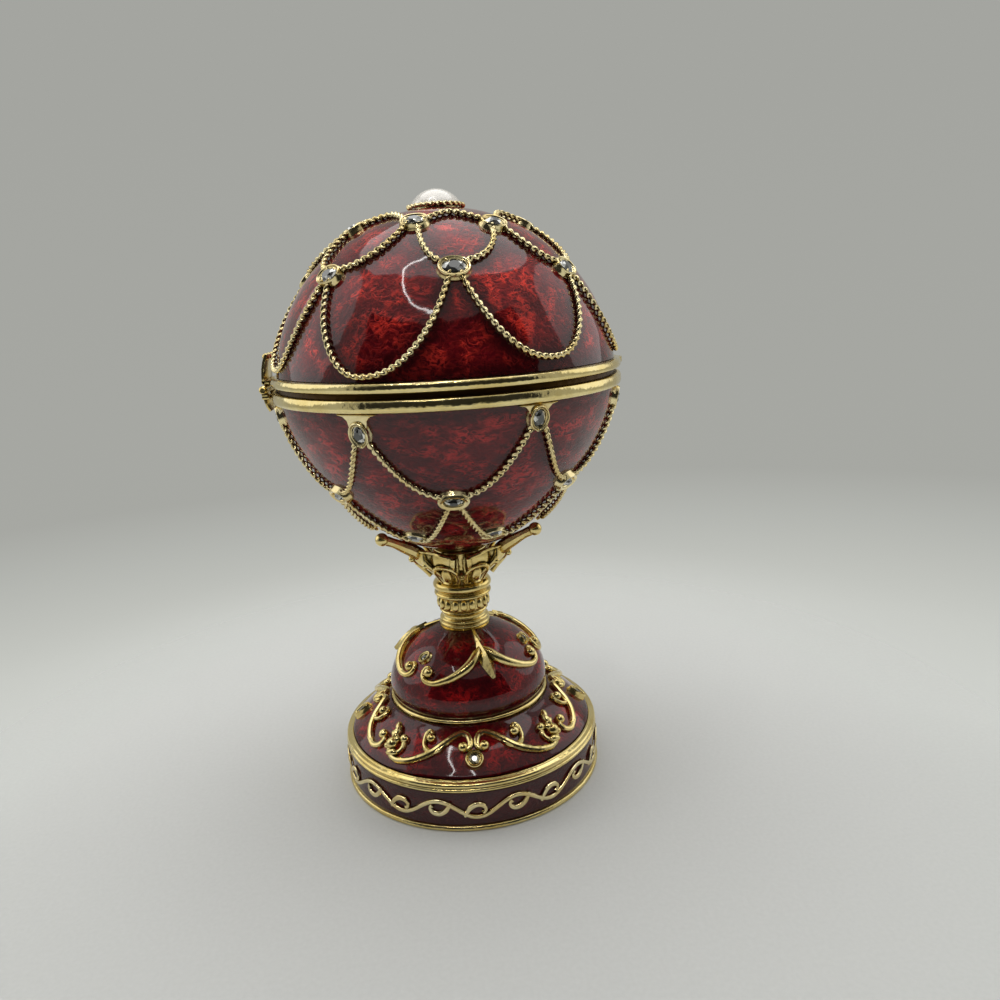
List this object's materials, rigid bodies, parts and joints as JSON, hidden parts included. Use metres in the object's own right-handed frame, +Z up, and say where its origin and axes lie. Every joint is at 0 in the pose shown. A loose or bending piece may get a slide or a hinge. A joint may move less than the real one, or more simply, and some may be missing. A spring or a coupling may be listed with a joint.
{
  "type": "enamel egg box on stand",
  "caption": "Hinged egg-shaped trinket box in red enamel with gilt rope swags and set stones, on a ringed stem and domed round foot, with a pearl finial.",
  "frame": {"origin": "centre of the foot's underside, on the table", "axes": "+Z up along the axis of foot, stem and egg; -Y is the front; the lid's hinge is at -X and its thumb lip at +X"},
  "size_m": [0.0649, 0.062, 0.1084],
  "materials": {
    "gold_plate": "polished gold plating over cast pewter",
    "inner_plate": "satin gold plating",
    "red_enamel": "glossy translucent enamel over a hammered ground",
    "clear_stone": "faceted, foil-backed",
    "pearl": "imitation pearl, lustrous",
    "screw_steel": "plain steel"
  },
  "bodies": {
    "stand": {"foot_casting": "gold_plate", "foot_band_enamel": "red_enamel", "foot_band_vine": "gold_plate", "foot_flange_enamel": "red_enamel", "flange_front_scrolls": "gold_plate", "flange_back_scrolls": "gold_plate", "flange_right_scrolls": "gold_plate", "flange_left_scrolls": "gold_plate", "bun_enamel": "red_enamel", "bun_leaf_scroll_1": "gold_plate", "bun_leaf_scroll_2": "gold_plate", "bun_leaf_scroll_3": "gold_plate", "stem_lower_collar": "gold_plate", "stem_ribbed_ring": "gold_plate", "stem_upper_ring": "gold_plate", "calyx": "gold_plate", "stem_screw": "screw_steel", "stem_washer": "screw_steel", "bowl_shell": "inner_plate", "bowl_enamel": "red_enamel", "bowl_rim": "gold_plate", "bowl_rope_trellis": "gold_plate", "bowl_upper_stone_1": "clear_stone", "bowl_upper_stone_2": "clear_stone", "bowl_upper_stone_3": "clear_stone", "bowl_upper_stone_4": "clear_stone", "bowl_upper_stone_5": "clear_stone", "bowl_upper_stone_6": "clear_stone", "bowl_upper_stone_7": "clear_stone", "bowl_middle_stone_1": "clear_stone", "bowl_middle_stone_2": "clear_stone", "bowl_middle_stone_3": "clear_stone", "bowl_middle_stone_4": "clear_stone", "bowl_middle_stone_5": "clear_stone", "bowl_middle_stone_6": "clear_stone", "bowl_middle_stone_7": "clear_stone", "hinge_lower_leaf": "gold_plate", "hinge_pin": "gold_plate"},
    "lid": {"lid_shell": "inner_plate", "lid_enamel": "red_enamel", "lid_rim": "gold_plate", "lid_rope_trellis": "gold_plate", "lid_middle_stone_1": "clear_stone", "lid_middle_stone_2": "clear_stone", "lid_middle_stone_3": "clear_stone", "lid_middle_stone_4": "clear_stone", "lid_middle_stone_5": "clear_stone", "lid_middle_stone_6": "clear_stone", "lid_middle_stone_7": "clear_stone", "lid_top_stone_1": "clear_stone", "lid_top_stone_2": "clear_stone", "lid_top_stone_3": "clear_stone", "lid_top_stone_4": "clear_stone", "lid_top_stone_5": "clear_stone", "lid_top_stone_6": "clear_stone", "lid_top_stone_7": "clear_stone", "hinge_upper_leaf": "gold_plate", "pearl_cup": "gold_plate", "pearl": "pearl"}
  },
  "joints": [
    {"name": "lid_hinge", "type": "hinge", "parent": "stand", "child": "lid", "pos_m": [-0.03205, 0, 0.07635], "axis": [0, -1, 0], "range_deg": [0, 95]}
  ]
}
